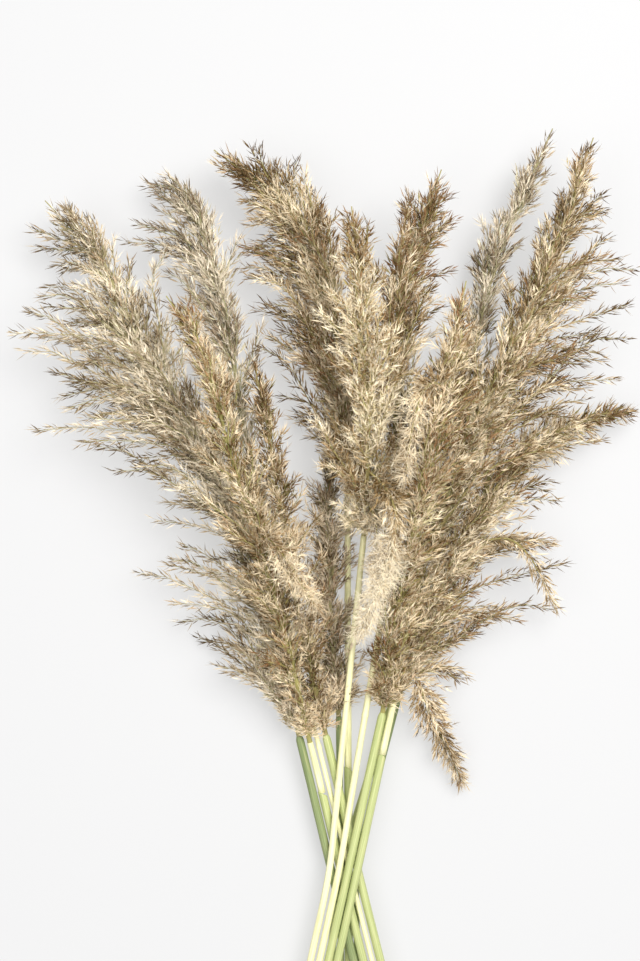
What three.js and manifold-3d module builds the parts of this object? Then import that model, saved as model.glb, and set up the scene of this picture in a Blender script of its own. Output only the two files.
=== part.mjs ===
// A loose bundle of twelve dried reed plumes, cut and laid down on a table.
// +Y runs along the stems to the tips of the plumes, +Z is up, and the table is at z = 0.
// The origin is on the table, under the place where the stems cross.
import * as THREE from "three";
import { mergeVertices } from "three/addons/utils/BufferGeometryUtils.js";
import Module from "manifold-3d";

const wasm = await Module();
wasm.setup();

// Driving dimensions, in millimetres.
const CLEARANCE = 0.35; // between two pieces that touch
const STEM_SIDES = 8;
const SHEATH_WALL = 0.5; // what a sheath adds to half the width of its culm
const THICK = 3.4; // half the width of a stout sheathed stem
const THIN = 2.6; // half the width of a slender one
const FOOT_Y = -300; // the cut ends lie about here
const LAYER = 7.3; // one layer of stems over another, where they cross
const CROSSING = { from: -125, bend: -12, to: 75 }; // along Y, where the stems lie in level layers
const LIFT = 0.2; // of the slanting cut ends, whose lower edge is what touches the table
const RACHIS = { base: 2.4, tip: 0.7, sides: 4, step: 26 };
const BRANCH = { base: 1.5, tip: 0.6, sides: 4, step: 25 };
const BARB = { out: 9, forward: 20 }; // a spikelet, out from its branch and along it
const BARB_SIZE = { root: 1.2, tip: 0.75 }; // of a branch's spikelets, as a share of BARB
const BARE_SHARE = { rachis: 0.5, branch: 0.25 }; // its lower part, without spikelets
const BOW = { ahead: 0.6, outward: 0.2 }; // how a branch arches between its root and its tip
const ASCENT = { slope: 1.7, least: 8 }; // how far up the rachis a branch runs for its reach sideways
const FILL = { from: 0.1, to: 0.94 }; // the part of the rachis that the filling branches stand along
const GOLDEN_ANGLE = Math.PI * (3 - Math.sqrt(5));
const SHIFTS = [0, 9, -9, 18, -18, 28, -28]; // up and down, for the tip of a branch that is in the way
const TURNS = [0, 0.35, -0.35, 0.7, -0.7, 1.05, -1.05]; // round the rachis, in radians, for the same
const LOWEST_TIP = 2;
const TABLE = { size: 2000, depth: 60 };

// Paints of the plumes and stems.
const TAN = 0xb5a27c;
const BROWN = 0x8d7350;
const GREY = 0x857866;
const CREAM = 0xcfbf97;
const STRAW = 0xdcd892;
const GREEN = 0x8fa362;
const DARK_GREEN = 0x6c8450;

// Each reed, from its cut end to the tip of its plume. waist is the stem's x where the stems cross, and
// layer the layer that it lies in there. Below the waist it leans by lean, to the y of its cut end, foot.
// mouth is where the green sheath ends and the pale culm comes out of it. rachis runs through the plume,
// and tips are the ends of the branches that make its outline. fill is the number of the rest, which reach
// left, right and up or down by spread. drooping is a spray that hangs back over the stems.
const REEDS = [
  {
    id: "01", width: THICK, layer: 2, waist: -15.2, lean: -0.25, foot: FOOT_Y, paint: TAN, stem: DARK_GREEN,
    rachis: [[-39, 100, 22], [-64, 221, 38], [-99, 311, 47], [-137, 366, 50], [-169, 424, 50],
      [-200, 488, 46], [-246, 539, 40]],
    tips: [[-211, 529], [-225, 535], [-176, 491], [-260, 498], [-251, 466], [-274, 428], [-268, 413],
      [-238, 376], [-257, 348], [-194, 315], [-163, 279], [-176, 234], [-146, 191], [-109, 181],
      [-114, 156]],
    spread: { left: 60, right: 52, depth: 46 }, fill: 8,
  },
  {
    id: "02", width: THICK, layer: 2, waist: -7.3, lean: -0.25, foot: FOOT_Y - 12, mouth: 54, paint: TAN,
    stem: GREEN,
    rachis: [[-30, 95, 24], [-43, 157, 50], [-67, 252, 88], [-87, 315, 108], [-102, 373, 116],
      [-118, 420, 112], [-142, 455, 102]],
    tips: [[-126, 453], [-136, 426], [-96, 404], [-83, 355], [-67, 303], [-93, 224], [-75, 172]],
    spread: { left: 38, right: 34, depth: 38 }, fill: 7,
    drooping: [[-67, 252, 88], [-64, 266, 102], [-52, 261, 110], [-38, 243, 110], [-28, 224, 104],
      [-19, 208, 96]],
  },
  {
    id: "03", width: THIN, layer: 2, waist: -0.2, lean: -0.25, foot: FOOT_Y + 16, mouth: -150, paint: GREY,
    stem: GREEN,
    rachis: [[-69, 278, 24], [-83, 352, 30], [-94, 417, 34], [-105, 475, 36], [-120, 522, 36],
      [-143, 553, 34]],
    tips: [[-155, 555], [-133, 548], [-123, 536], [-115, 519], [-107, 494], [-90, 459], [-163, 543],
      [-172, 518], [-187, 503], [-154, 479]],
    spread: { left: 40, right: 30, depth: 34 }, fill: 5,
  },
  {
    id: "04", width: THICK, layer: 2, waist: 6.9, lean: -0.25, foot: FOOT_Y - 20, paint: BROWN,
    stem: GREEN,
    rachis: [[-17, 101, 22], [-35, 181, 48], [-51, 255, 70], [-64, 327, 80], [-76, 378, 82],
      [-84, 417, 80]],
    tips: [[-75, 407], [-72, 382], [-50, 337], [-49, 320], [-33, 279], [-20, 227], [-14, 182]],
    spread: { left: 34, right: 34, depth: 34 }, fill: 6,
  },
  {
    id: "05", width: THIN, layer: 1, waist: -4.3, lean: 0, foot: FOOT_Y + 10, paint: GREY,
    stem: DARK_GREEN,
    rachis: [[-6, 115, 14], [-11, 171, 22], [-17, 237, 28], [-24, 295, 30], [-29, 344, 30]],
    tips: [[-38, 311], [-13, 326], [-1, 278], [-38, 245], [8, 204], [-26, 171], [16, 132]],
    spread: { left: 28, right: 28, depth: 30 }, fill: 4,
  },
  {
    id: "06", width: THICK, layer: 1, waist: 2.2, lean: 0, foot: FOOT_Y - 8, mouth: 73, paint: TAN,
    stem: GREEN,
    rachis: [[1, 307, 26], [0, 368, 36], [-9, 433, 42], [-23, 498, 46], [-50, 551, 46], [-108, 580, 42]],
    tips: [[-75, 583], [-41, 573], [-26, 548], [-87, 557], [-80, 520], [-91, 496], [-94, 480],
      [-81, 450], [-65, 430], [-80, 420], [-62, 381], [-7, 527], [-38, 344]],
    spread: { left: 58, right: 46, depth: 46 }, fill: 7,
  },
  {
    id: "07", width: THICK, layer: 3, waist: -12.3, lean: 0.22, foot: FOOT_Y + 8, mouth: -190, paint: CREAM,
    stem: GREEN,
    rachis: [[14, 266, 48], [16, 319, 80], [14, 381, 104], [9, 443, 116], [6, 489, 116], [3, 524, 110]],
    tips: [[-2, 504], [19, 501], [-10, 452], [-20, 413], [33, 472], [49, 437], [-17, 366], [60, 397],
      [-9, 319], [61, 350], [45, 303]],
    spread: { left: 36, right: 50, depth: 44 }, fill: 8,
    drooping: [[16, 319, 80], [30, 305, 98], [38, 283, 106], [35, 262, 104], [24, 225, 92], [8, 184, 72]],
  },
  {
    id: "08", width: THICK, layer: 3, waist: -4, lean: 0.22, foot: FOOT_Y - 16, mouth: -165, paint: TAN,
    stem: GREEN,
    rachis: [[42, 279, 50], [40, 343, 68], [39, 406, 78], [43, 458, 82], [56, 503, 82], [75, 558, 78]],
    tips: [[45, 535], [39, 498], [88, 514], [84, 538], [88, 478], [28, 463], [79, 447], [84, 407]],
    spread: { left: 40, right: 46, depth: 38 }, fill: 5,
  },
  {
    id: "09", width: THICK, layer: 3, waist: 4, lean: 0.22, foot: FOOT_Y + 22, paint: TAN, stem: GREEN,
    rachis: [[30, 120, 28], [43, 223, 62], [56, 287, 88], [68, 350, 102], [80, 409, 106], [93, 467, 100]],
    tips: [[83, 454], [105, 430], [109, 374], [99, 319], [86, 263], [56, 382], [91, 216], [45, 319]],
    spread: { left: 40, right: 44, depth: 42 }, fill: 6,
  },
  {
    id: "10", width: THICK, layer: 3, waist: 11.5, lean: 0.22, foot: FOOT_Y, mouth: 85, paint: TAN,
    stem: GREEN,
    rachis: [[39, 128, 28], [63, 246, 48], [87, 323, 64], [118, 392, 74], [146, 446, 76], [172, 515, 72],
      [198, 586, 64]],
    tips: [[186, 569], [212, 527], [214, 506], [234, 476], [230, 452], [234, 424], [224, 392],
      [168, 536], [139, 480], [212, 343]],
    spread: { left: 50, right: 62, depth: 46 }, fill: 9,
  },
  {
    id: "11", width: THIN, layer: 0, waist: 11, lean: -0.02, foot: FOOT_Y - 14, paint: GREY,
    stem: DARK_GREEN,
    rachis: [[77, 262, 26], [91, 344, 34], [104, 413, 38], [117, 470, 38], [138, 528, 37], [169, 599, 34]],
    tips: [[154, 581], [145, 563], [132, 544], [123, 527], [111, 512], [104, 499], [98, 462], [165, 561]],
    spread: { left: 38, right: 42, depth: 38 }, fill: 6,
  },
  {
    id: "12", width: THICK, layer: 0, waist: 0, lean: 0.12, foot: FOOT_Y + 4, paint: TAN, stem: GREEN,
    rachis: [[42, 138, 21], [69, 204, 34], [101, 270, 42], [141, 326, 42], [187, 356, 38],
      [235, 368, 32]],
    tips: [[239, 361], [184, 324], [176, 289], [169, 254], [186, 243], [176, 201], [132, 205],
      [114, 186], [110, 139], [208, 344]],
    spread: { left: 40, right: 44, depth: 40 }, fill: 7,
    drooping: [[46, 150, 24], [58, 147, 28], [66, 126, 26], [77, 102, 20], [88, 79, 14], [98, 56, 9]],
  },
];

const point = (row) => new THREE.Vector3(...row);
const UP = new THREE.Vector3(0, 0, 1);

// A number from 0 to 1 that looks random and is the same each time for the same key.
function draw(key) {
  const wave = Math.sin(key * 12.9898) * 43758.5453;
  return wave - Math.floor(wave);
}

// A closed mesh as a solid: shared corners are merged, and triangles that shrank to a line are left out.
function solidOf(geometry) {
  const bare = geometry.index ? geometry.clone() : geometry;
  bare.deleteAttribute("normal");
  bare.deleteAttribute("uv");
  const merged = mergeVertices(bare, 1e-4);
  const corners = merged.index.array;
  const kept = [];
  for (let i = 0; i < corners.length; i += 3) {
    const [a, b, c] = corners.subarray(i, i + 3);
    if (a !== b && b !== c && c !== a) kept.push(a, b, c);
  }
  return new wasm.Manifold(
    new wasm.Mesh({
      numProp: 3,
      vertProperties: merged.attributes.position.array,
      triVerts: new Uint32Array(kept),
    }),
  );
}

function geometryOf(solid) {
  const mesh = solid.getMesh();
  const corners = new Float32Array(mesh.numVert * 3);
  for (let i = 0; i < mesh.numVert; i++) {
    corners.set(mesh.vertProperties.subarray(i * mesh.numProp, i * mesh.numProp + 3), i * 3);
  }
  const geometry = new THREE.BufferGeometry();
  geometry.setAttribute("position", new THREE.BufferAttribute(corners, 3));
  geometry.setIndex(new THREE.BufferAttribute(new Uint32Array(mesh.triVerts), 1));
  geometry.computeVertexNormals();
  return geometry;
}

// The way a line of points runs at point k, with the directions across it: one level, one upwards.
function frameAt(points, k, lastHeading) {
  const last = points.length - 1;
  const along = points[Math.min(k + 1, last)].clone().sub(points[Math.max(k - 1, 0)]).normalize();
  if (k === last && lastHeading) along.copy(lastHeading);
  const across = along.clone().cross(UP).normalize();
  const upward = across.clone().cross(along);
  return { along, across, upward };
}

// A cylinder whose rings are carried to a line of points, ring k with the radius radii[k]. With barbs, two
// facing corners of a ring are drawn out and forward into pointed spikelets, the other two on the next.
function limb(points, radii, sides, { barbAt = () => 0, lastHeading } = {}) {
  const steps = points.length - 1;
  const shape = new THREE.CylinderGeometry(1, 1, 1, sides, steps).rotateY(Math.PI / sides);
  const place = shape.attributes.position;
  const frames = points.map((_, k) => frameAt(points, k, lastHeading));
  for (let i = 0; i < place.count; i++) {
    const x = place.getX(i);
    const z = place.getZ(i);
    const k = Math.round((place.getY(i) + 0.5) * steps);
    const { along, across, upward } = frames[k];
    const spot = points[k].clone();
    spot.addScaledVector(across, x * radii[k]);
    spot.addScaledVector(upward, z * radii[k]);
    const corner = Math.round(((Math.atan2(x, z) / Math.PI) * sides - 1) / 2 + sides) % sides;
    const barb = Math.hypot(x, z) > 0.5 && corner % 2 === k % 2 ? barbAt(k) : 0;
    spot.addScaledVector(across, x * BARB.out * barb);
    spot.addScaledVector(upward, z * BARB.out * barb);
    spot.addScaledVector(along, BARB.forward * barb);
    place.setXYZ(i, spot.x, spot.y, spot.z);
  }
  return solidOf(shape);
}

// A straight-sided stem with flat faces above and below, half as wide as half says.
function stemSolid(points, half, lastHeading) {
  const radius = half / Math.cos(Math.PI / STEM_SIDES);
  return limb(points, points.map(() => radius), STEM_SIDES, { lastHeading });
}

// The line of a stem from its cut end to the base of its plume. It lies level in its layer where the
// stems cross, bends a little at the waist, and comes down to the table at the cut end.
function stemLine(reed) {
  const height = reed.width + reed.layer * LAYER;
  const base = point(reed.rachis[0]);
  const leanAbove = (base.x - reed.waist) / base.y;
  const upper = (y) => reed.waist + leanAbove * y;
  const lower = (y) => upper(CROSSING.bend) + reed.lean * (y - CROSSING.bend);
  const line = [
    new THREE.Vector3(lower(reed.foot), reed.foot, reed.width + (reed.layer > 0 ? LIFT : 0)),
    new THREE.Vector3(lower(CROSSING.from), CROSSING.from, height),
    new THREE.Vector3(upper(CROSSING.bend), CROSSING.bend, height),
    new THREE.Vector3(upper(CROSSING.to), CROSSING.to, height),
  ];
  const heading = point(reed.rachis[1]).sub(base).normalize();
  return [...line, base.addScaledVector(heading, -CLEARANCE)];
}

// Splits a stem's line at the mouth of its sheath, with the clearance between the two stretches.
function splitAt(line, mouth) {
  const k = line.findIndex((spot) => spot.y > mouth);
  const cutAt = (y) => {
    const share = (y - line[k - 1].y) / (line[k].y - line[k - 1].y);
    return line[k - 1].clone().lerp(line[k], share);
  };
  const lower = [...line.slice(0, k), cutAt(mouth)];
  const upper = [cutAt(mouth + CLEARANCE), ...line.slice(k)];
  return [lower, upper];
}

// A curve from the rachis to the tip of a branch: it leaves along the rachis and then arches outwards.
function branchCurve(from, heading, tip) {
  const reach = from.distanceTo(tip);
  const control = from.clone().addScaledVector(heading, BOW.ahead * reach);
  control.lerp(tip, BOW.outward);
  return new THREE.QuadraticBezierCurve3(from, control, tip);
}

// A side branch with a spikelet at each ring above its bare part but the last.
function branchSolid(curve) {
  const length = curve.getLength();
  const steps = Math.max(3, Math.round(length / BRANCH.step));
  const points = curve.getSpacedPoints(steps);
  const radii = points.map((_, k) => THREE.MathUtils.lerp(BRANCH.base, BRANCH.tip, k / steps));
  const size = (k) => THREE.MathUtils.lerp(BARB_SIZE.root, BARB_SIZE.tip, k / steps);
  const barbAt = (k) => (k > BARE_SHARE.branch * steps && k < steps ? size(k) : 0);
  return limb(points, radii, BRANCH.sides, { barbAt });
}

// A smooth curve through points given as rows of x, y and z.
function runThrough(rows) {
  return new THREE.CatmullRomCurve3(rows.map(point), false, "catmullrom", 0.5);
}

function rachisCurve(reed) {
  return runThrough(reed.rachis);
}

function rachisSolid(curve) {
  const steps = Math.round(curve.getLength() / RACHIS.step);
  const points = curve.getSpacedPoints(steps);
  const radii = points.map((_, k) => THREE.MathUtils.lerp(RACHIS.base, RACHIS.tip, k / steps));
  const barbAt = (k) => (k > BARE_SHARE.rachis * steps && k < steps ? 1 : 0);
  return limb(points, radii, RACHIS.sides, { barbAt });
}

function boxesNear(a, b) {
  const boxA = a.boundingBox();
  const boxB = b.boundingBox();
  return [0, 1, 2].every(
    (i) => boxA.min[i] - CLEARANCE < boxB.max[i] && boxB.min[i] - CLEARANCE < boxA.max[i],
  );
}

function isClear(solid, others) {
  const near = others.filter((other) => boxesNear(solid, other));
  return near.every((other) => solid.minGap(other, 2 * CLEARANCE) > CLEARANCE);
}

// Where a branch with its tip off to one side of the rachis leaves it: lower down, as branches ascend.
function rootShare(curve, tip) {
  const length = curve.getLength();
  let foot = 0;
  for (let share = 0; share <= 1; share += 0.02) {
    if (curve.getPointAt(share).distanceTo(tip) < curve.getPointAt(foot).distanceTo(tip)) foot = share;
  }
  const sideways = curve.getPointAt(foot).distanceTo(tip);
  return THREE.MathUtils.clamp(foot - (ASCENT.slope * sideways + ASCENT.least) / length, 0.02, 0.9);
}

// How wide a plume is at a share of its rachis, against its full spread: it swells above its base and
// narrows towards its tip.
function fullnessAt(share) {
  const swelling = Math.min(1, 0.2 + 2.2 * share);
  const narrowing = Math.min(1, 3 * (1.06 - share));
  return swelling * narrowing;
}

// The tips of all the branches of a plume: first those of the outline, then the rest by a rule, which
// turns from one to the next by the golden angle. Each has some other places to bend to.
function branchTips(reed, curve) {
  const seed = Number(reed.id) * 100;
  const tips = reed.tips.map(([x, y], i) => {
    const near = curve.getPointAt(THREE.MathUtils.clamp(rootShare(curve, point([x, y, 60])) + 0.2, 0, 1));
    const height = near.z + (draw(seed + i) - 0.5) * reed.spread.depth;
    return SHIFTS.map((shift) => new THREE.Vector3(x, y, Math.max(LOWEST_TIP, height + shift)));
  });
  for (let i = 0; i < reed.fill; i++) {
    const share = THREE.MathUtils.lerp(FILL.from, FILL.to, (i + 0.5) / reed.fill);
    const fullness = fullnessAt(share);
    const spot = curve.getPointAt(share);
    const heading = curve.getTangentAt(share);
    const across = heading.clone().cross(UP).normalize();
    tips.push(
      TURNS.map((turn) => {
        const angle = i * GOLDEN_ANGLE + draw(seed + 50 + i) + turn;
        const side = Math.cos(angle) * (Math.cos(angle) > 0 ? reed.spread.right : reed.spread.left);
        const tip = spot.clone().addScaledVector(across, side * fullness);
        tip.z = Math.max(LOWEST_TIP, tip.z + Math.sin(angle) * reed.spread.depth * fullness);
        return tip;
      }),
    );
  }
  return tips;
}

// What is left of a plume once the table has cut it flat, without loose scraps.
function setDown(plume) {
  const slab = new THREE.BoxGeometry(TABLE.size, TABLE.size, TABLE.depth).translate(0, 0, -TABLE.depth / 2);
  const bodies = plume.subtract(solidOf(slab)).decompose();
  return bodies.reduce((largest, body) => (body.volume() > largest.volume() ? body : largest));
}

// One plume: the rachis, with every branch that finds a way clear of the pieces already in place.
function plumeSolid(reed, others) {
  const curve = rachisCurve(reed);
  let plume = rachisSolid(curve);
  for (const places of branchTips(reed, curve)) {
    for (const tip of places) {
      const share = rootShare(curve, tip);
      const branch = branchSolid(branchCurve(curve.getPointAt(share), curve.getTangentAt(share), tip));
      if (isClear(branch, others)) {
        plume = plume.add(branch);
        break;
      }
    }
  }
  if (reed.drooping) {
    const spray = branchSolid(runThrough(reed.drooping));
    if (isClear(spray, others)) plume = plume.add(spray);
  }
  return setDown(plume);
}

const bundle = new THREE.Group();
const placed = [];

function addPiece(name, solid, color, roughness) {
  const material = new THREE.MeshStandardMaterial({ color, roughness, metalness: 0 });
  const mesh = new THREE.Mesh(geometryOf(solid), material);
  mesh.name = name;
  bundle.add(mesh);
  placed.push(solid);
}

for (const reed of REEDS) {
  const line = stemLine(reed);
  const heading = rachisCurve(reed).getTangent(0);
  if (reed.mouth === undefined) {
    addPiece(`sheathed_stem_${reed.id}`, stemSolid(line, reed.width, heading), reed.stem, 0.7);
  } else {
    const [lower, upper] = splitAt(line, reed.mouth);
    addPiece(`sheathed_stem_${reed.id}`, stemSolid(lower, reed.width), reed.stem, 0.7);
    addPiece(`bare_culm_${reed.id}`, stemSolid(upper, reed.width - SHEATH_WALL, heading), STRAW, 0.5);
  }
}

const rachises = REEDS.map((reed) => rachisSolid(rachisCurve(reed)));
REEDS.forEach((reed, i) => {
  const others = [...placed, ...rachises.slice(i + 1)];
  addPiece(`plume_${reed.id}`, plumeSolid(reed, others), reed.paint, 0.9);
});

export default bundle;
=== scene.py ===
import math
from collections import namedtuple

import bpy
import numpy as np
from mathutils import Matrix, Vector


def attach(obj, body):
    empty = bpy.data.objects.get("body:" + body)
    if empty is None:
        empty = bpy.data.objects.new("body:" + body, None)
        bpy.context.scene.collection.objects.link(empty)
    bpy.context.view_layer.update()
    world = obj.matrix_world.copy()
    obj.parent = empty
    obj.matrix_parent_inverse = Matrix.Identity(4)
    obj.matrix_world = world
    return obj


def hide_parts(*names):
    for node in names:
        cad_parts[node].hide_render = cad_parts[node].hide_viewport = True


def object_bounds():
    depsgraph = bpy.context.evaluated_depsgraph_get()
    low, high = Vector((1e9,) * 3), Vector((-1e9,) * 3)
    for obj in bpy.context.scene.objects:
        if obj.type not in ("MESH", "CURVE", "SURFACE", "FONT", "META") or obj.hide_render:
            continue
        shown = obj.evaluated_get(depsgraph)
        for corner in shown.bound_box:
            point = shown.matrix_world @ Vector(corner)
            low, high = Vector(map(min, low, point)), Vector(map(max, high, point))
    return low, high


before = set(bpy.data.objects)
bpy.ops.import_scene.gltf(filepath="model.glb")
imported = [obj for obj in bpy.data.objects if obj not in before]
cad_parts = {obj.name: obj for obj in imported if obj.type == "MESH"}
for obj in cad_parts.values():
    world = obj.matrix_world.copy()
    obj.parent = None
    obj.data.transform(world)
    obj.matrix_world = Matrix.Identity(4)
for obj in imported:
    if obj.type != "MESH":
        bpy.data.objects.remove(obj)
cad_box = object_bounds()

scene = bpy.context.scene
scene.view_settings.view_transform = "Standard"

# The camera looks straight down on the bundle, from as far off as the photo was taken. Places in this
# section and the next two are in metres.
CAMERA_HEIGHT = 1.565
CAMERA_OVER = (-0.0216, 0.3106)
LENS = 70.0
SENSOR = 36.0

camera_data = bpy.data.cameras.new("camera")
camera_data.lens = LENS
camera_data.sensor_width = SENSOR
camera = bpy.data.objects.new("camera", camera_data)
camera.location = (*CAMERA_OVER, CAMERA_HEIGHT)
scene.collection.objects.link(camera)
scene.camera = camera

# The floor is one pale, plain, even sheet. It lies a hair under the bundle, and glows a little, as a pale
# floor does in a bright room.
FLOOR_HALF = 6.0
FLOOR_DROP = 0.0004
FLOOR_CORNERS = ((-1, -1), (1, -1), (1, 1), (-1, 1))
FLOOR_COLOUR = (0.262, 0.266, 0.275, 1.0)
FLOOR_ROUGHNESS, FLOOR_SHINE = 0.9, 0.1
FLOOR_GLOW, FLOOR_GLOW_COLOUR = 0.50, (1.0, 0.998, 0.99, 1.0)


def new_paint(name, roughness, shine):
    """A new material with these two on its shader's own sockets, and that shader."""
    paint = bpy.data.materials.new(name)
    paint.use_nodes = True
    surface = paint.node_tree.nodes["Principled BSDF"]
    surface.inputs["Roughness"].default_value = roughness
    surface.inputs["Specular IOR Level"].default_value = shine
    return paint, surface


floor_mesh = bpy.data.meshes.new("floor")
floor_mesh.from_pydata(
    [(x * FLOOR_HALF, y * FLOOR_HALF, -FLOOR_DROP) for x, y in FLOOR_CORNERS], [], [(0, 1, 2, 3)]
)
floor = bpy.data.objects.new("floor", floor_mesh)
scene.collection.objects.link(floor)
floor_paint, floor_surface = new_paint("pale floor", FLOOR_ROUGHNESS, FLOOR_SHINE)
floor_surface.inputs["Base Color"].default_value = FLOOR_COLOUR
floor_surface.inputs["Emission Color"].default_value = FLOOR_GLOW_COLOUR
floor_surface.inputs["Emission Strength"].default_value = FLOOR_GLOW
floor_mesh.materials.append(floor_paint)

# Soft light from all round, as in a bright white room, with one large window up and to the right.
ROOM_LIGHT, ROOM_COLOUR = 0.28, (0.97, 0.98, 1.0, 1.0)
BUNDLE_MIDDLE = (0.0, 0.25, 0.05)
Lamp = namedtuple("Lamp", "name watts size place colour")
LAMPS = [
    Lamp("window", 85.0, 1.6, (0.75, 1.0, 2.2), (1.0, 0.975, 0.94)),
    Lamp("fill", 28.0, 1.8, (-1.0, -0.2, 2.3), (1.0, 0.99, 0.98)),
]

world = bpy.data.worlds.new("room")
world.use_nodes = True
room = world.node_tree.nodes["Background"]
room.inputs["Color"].default_value = ROOM_COLOUR
room.inputs["Strength"].default_value = ROOM_LIGHT
scene.world = world
for lamp in LAMPS:
    light = bpy.data.lights.new(lamp.name, "AREA")
    light.energy = lamp.watts
    light.size = lamp.size
    light.color = lamp.colour
    light_object = bpy.data.objects.new(lamp.name, light)
    light_object.location = lamp.place
    aim = np.array(BUNDLE_MIDDLE) - np.array(lamp.place)
    heading, tilt = math.atan2(aim[1], aim[0]), math.acos(-aim[2] / np.linalg.norm(aim))
    light_object.rotation_euler = (tilt, 0.0, heading - math.pi / 2)
    scene.collection.objects.link(light_object)

# Sheathed stems. A reed's culm is a slender tube, and each leaf wraps it in a long green sheath that starts
# at a node and ends in a slanting mouth, out of which the next stretch comes. The twelve stems cross at one
# waist, layer on layer, and were cut off at the foot, where their hollow shows.
MM = 0.001
THICK, THIN = 3.4, 2.6
FOOT = -300
LAYER = 7.3
CROSSING_FROM, BEND, CROSSING_TO = -125, -12, 75
LIFT = 0.2
SHEATH_WALL = 0.5
CLEARANCE = 0.35

# Places from here on are in millimetres. Each reed has half its thickness, the layer in which it crosses
# the others, its x at the waist, its lean below the bend, the y of its foot, that of its top sheath's mouth
# (None where the plume comes straight out of the sheath), and the points of its plume's rachis.
Reed = namedtuple("Reed", "id half layer waist lean foot mouth rachis")
REEDS = [
    Reed("01", THICK, 2, -15.2, -0.25, FOOT, None,
         [(-39, 100, 22), (-64, 221, 38), (-99, 311, 47), (-137, 366, 50), (-169, 424, 50),
          (-200, 488, 46), (-246, 539, 40)]),
    Reed("02", THICK, 2, -7.3, -0.25, FOOT - 12, 54,
         [(-30, 95, 24), (-43, 157, 50), (-67, 252, 88), (-87, 315, 108), (-102, 373, 116),
          (-118, 420, 112), (-142, 455, 102)]),
    Reed("03", THIN, 2, -0.2, -0.25, FOOT + 16, -150,
         [(-69, 278, 24), (-83, 352, 30), (-94, 417, 34), (-105, 475, 36), (-120, 522, 36),
          (-143, 553, 34)]),
    Reed("04", THICK, 2, 6.9, -0.25, FOOT - 20, None,
         [(-17, 101, 22), (-35, 181, 48), (-49, 255, 70), (-59, 327, 80), (-67, 372, 82),
          (-74, 402, 80)]),
    Reed("05", THIN, 1, -4.3, 0, FOOT + 10, None,
         [(-6, 115, 14), (-11, 171, 22), (-15, 237, 28), (-15, 295, 30), (-12, 338, 30)]),
    Reed("06", THICK, 1, 2.2, 0, FOOT - 8, 73,
         [(1, 307, 26), (0, 368, 36), (-9, 433, 42), (-25, 498, 46), (-61, 542, 46), (-108, 580, 42)]),
    Reed("07", THICK, 3, -12.3, 0.22, FOOT + 8, -190,
         [(14, 266, 48), (16, 319, 80), (14, 381, 104), (9, 443, 116), (6, 489, 116), (3, 524, 110)]),
    Reed("08", THICK, 3, -4, 0.22, FOOT - 16, -165,
         [(42, 279, 50), (40, 343, 68), (39, 406, 78), (43, 458, 82), (56, 503, 82), (75, 558, 78)]),
    Reed("09", THICK, 3, 4, 0.22, FOOT + 22, None,
         [(30, 120, 28), (43, 223, 62), (56, 287, 88), (68, 350, 102), (80, 409, 106), (93, 467, 100)]),
    Reed("10", THICK, 3, 11.5, 0.22, FOOT, 85,
         [(39, 128, 28), (63, 246, 48), (87, 323, 64), (118, 392, 74), (146, 446, 76), (172, 515, 72),
          (198, 586, 64)]),
    Reed("11", THIN, 0, 11, -0.02, FOOT - 14, None,
         [(77, 262, 26), (91, 344, 34), (104, 413, 38), (117, 470, 38), (138, 528, 37),
          (169, 599, 34)]),
    Reed("12", THICK, 0, 0, 0.12, FOOT + 4, None,
         [(42, 138, 21), (69, 204, 34), (101, 270, 42), (141, 326, 42), (187, 356, 38),
          (235, 368, 32)]),
]

STEM_SIDES = 16
STEM_STEP = 7.0
ROUNDING, ROUNDING_SAMPLES = 22.0, 9
AROUND = np.linspace(0, 2 * np.pi, STEM_SIDES, endpoint=False)


def unit(vectors):
    """Each vector over its own length."""
    return vectors / np.maximum(np.linalg.norm(vectors, axis=-1, keepdims=True), 1e-12)


def frames_along(along):
    """Two directions across each heading: one level, heading x up, and one square to both."""
    across = unit(np.cross(along, (0.0, 0.0, 1.0)))
    return across, np.cross(across, along)


def turned(across, upward, angle):
    """The direction at this angle from across towards upward."""
    return across * np.cos(angle) + upward * np.sin(angle)


def solid_mesh(name, points, triangles, places, smooth):
    """A mesh object from points in millimetres, triangles of three corners each, and a place on the paint
    map for each corner. The map is kept twice: the paint reads Tone, and OFBake carries it on export."""
    mesh = bpy.data.meshes.new(name)
    mesh.vertices.add(len(points))
    mesh.vertices.foreach_set("co", (points * MM).astype(np.float32).ravel())
    mesh.loops.add(triangles.size)
    mesh.loops.foreach_set("vertex_index", triangles.astype(np.int32).ravel())
    mesh.polygons.add(len(triangles))
    mesh.polygons.foreach_set("loop_start", np.arange(0, triangles.size, 3, dtype=np.int32))
    mesh.polygons.foreach_set("use_smooth", np.full(len(triangles), smooth))
    mesh.update(calc_edges=True)
    for layer in ("Tone", "OFBake"):
        mesh.uv_layers.new(name=layer).data.foreach_set("uv", places.astype(np.float32).ravel())
    made = bpy.data.objects.new(name, mesh)
    scene.collection.objects.link(made)
    return made


def stem_line(reed):
    """The stem's line: level in its layer where the stems cross, straight to the plume above the waist,
    down to the floor at the foot."""
    base = np.array(reed.rachis[0], float)
    height = reed.half + reed.layer * LAYER
    above = (base[0] - reed.waist) / base[1]
    bend_x = reed.waist + above * BEND
    foot_height = reed.half + (LIFT if reed.layer else 0.0)
    heading = unit(np.array(reed.rachis[1], float) - base)
    return np.array([
        (bend_x + reed.lean * (reed.foot - BEND), reed.foot, foot_height),
        (bend_x + reed.lean * (CROSSING_FROM - BEND), CROSSING_FROM, height),
        (bend_x, BEND, height),
        (reed.waist + above * CROSSING_TO, CROSSING_TO, height),
        base - heading * CLEARANCE,
    ])


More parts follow.
